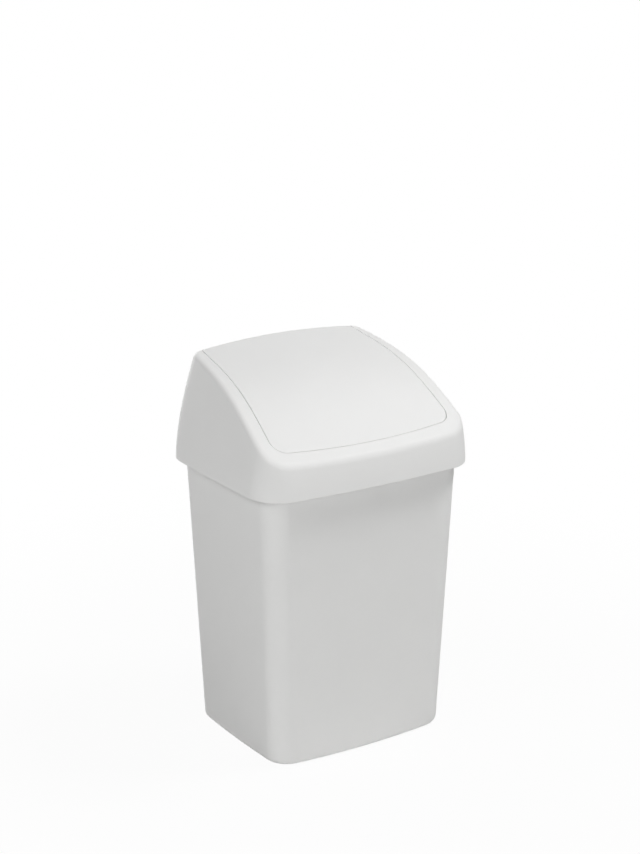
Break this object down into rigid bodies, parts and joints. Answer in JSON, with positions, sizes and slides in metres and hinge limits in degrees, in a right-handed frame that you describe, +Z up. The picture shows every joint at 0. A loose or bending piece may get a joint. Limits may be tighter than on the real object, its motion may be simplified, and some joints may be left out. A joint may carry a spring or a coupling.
{
  "type": "swing-lid waste bin",
  "caption": "Small countertop waste bin: a tapered rectangular tub, a lift-off hood whose skirt caps the rim, and a curved swing flap pivoted in the hood.",
  "frame": {"origin": "middle of the base on the table, under the middle of the overall width and depth", "axes": "+Z up, X along the width, the low front of the hood faces -Y, the high ridge is towards +Y"},
  "size_m": [0.2346, 0.195, 0.3705],
  "materials": {
    "tub_plastic": "satin moulded polypropylene, white",
    "hood_plastic": "satin moulded polypropylene, white",
    "flap_plastic": "satin moulded polypropylene, white"
  },
  "bodies": {
    "bin": {"bin_body": "tub_plastic"},
    "hood": {"lid_hood": "hood_plastic"},
    "flap": {"swing_flap": "flap_plastic"}
  },
  "joints": [
    {"name": "hood_lift", "type": "slide", "parent": "bin", "child": "hood", "axis": [0, 0, 1], "range_m": [0, 0.06]},
    {"name": "flap_swing", "type": "hinge", "parent": "hood", "child": "flap", "pos_m": [0, -0.0095, 0.34277], "axis": [1, 0, 0], "range_deg": [0, 80]}
  ]
}
